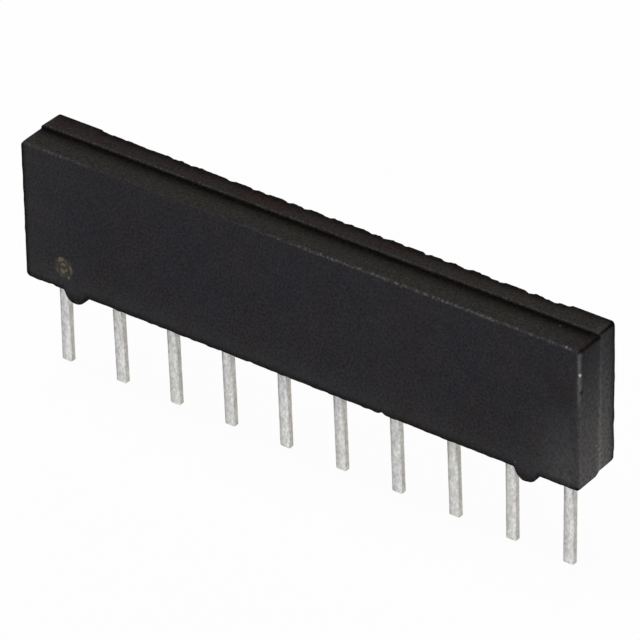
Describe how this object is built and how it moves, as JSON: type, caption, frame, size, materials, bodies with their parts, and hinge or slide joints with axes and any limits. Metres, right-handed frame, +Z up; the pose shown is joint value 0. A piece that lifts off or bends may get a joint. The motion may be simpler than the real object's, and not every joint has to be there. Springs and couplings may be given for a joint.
{
  "type": "resistor network",
  "caption": "Flat black moulded block with a row of flat tinned leads and two stand-offs below: a single-in-line resistor network with a common bus.",
  "frame": {"origin": "middle of the lead row on the seating plane, which is the underside of the stand-offs", "axes": "+X along the lead row away from lead 1, marked front face towards -Y, +Z up out of the board"},
  "size_m": [0.0248, 0.0022, 0.0099],
  "materials": {
    "epoxy": "matte, finely pitted",
    "tinned_lead": "dull tin plate",
    "alumina": "matte",
    "overglaze": "gloss",
    "silver_print": "matte fired print",
    "resistive_print": "matte fired print",
    "solder": "satin"
  },
  "bodies": {
    "root": {"moulded_body": "epoxy", "substrate": "alumina", "glass_coat": "overglaze", "lead_01": "tinned_lead", "lead_02": "tinned_lead", "lead_03": "tinned_lead", "lead_04": "tinned_lead", "lead_05": "tinned_lead", "lead_06": "tinned_lead", "lead_07": "tinned_lead", "lead_08": "tinned_lead", "lead_09": "tinned_lead", "lead_10": "tinned_lead", "conductor_01": "silver_print", "conductor_02": "silver_print", "conductor_03": "silver_print", "conductor_04": "silver_print", "conductor_05": "silver_print", "conductor_06": "silver_print", "conductor_07": "silver_print", "conductor_08": "silver_print", "conductor_09": "silver_print", "conductor_10": "silver_print", "element_02": "resistive_print", "element_03": "resistive_print", "element_04": "resistive_print", "element_05": "resistive_print", "element_06": "resistive_print", "element_07": "resistive_print", "element_08": "resistive_print", "element_09": "resistive_print", "element_10": "resistive_print", "solder_01": "solder", "solder_02": "solder", "solder_03": "solder", "solder_04": "solder", "solder_05": "solder", "solder_06": "solder", "solder_07": "solder", "solder_08": "solder", "solder_09": "solder", "solder_10": "solder"}
  },
  "joints": []
}
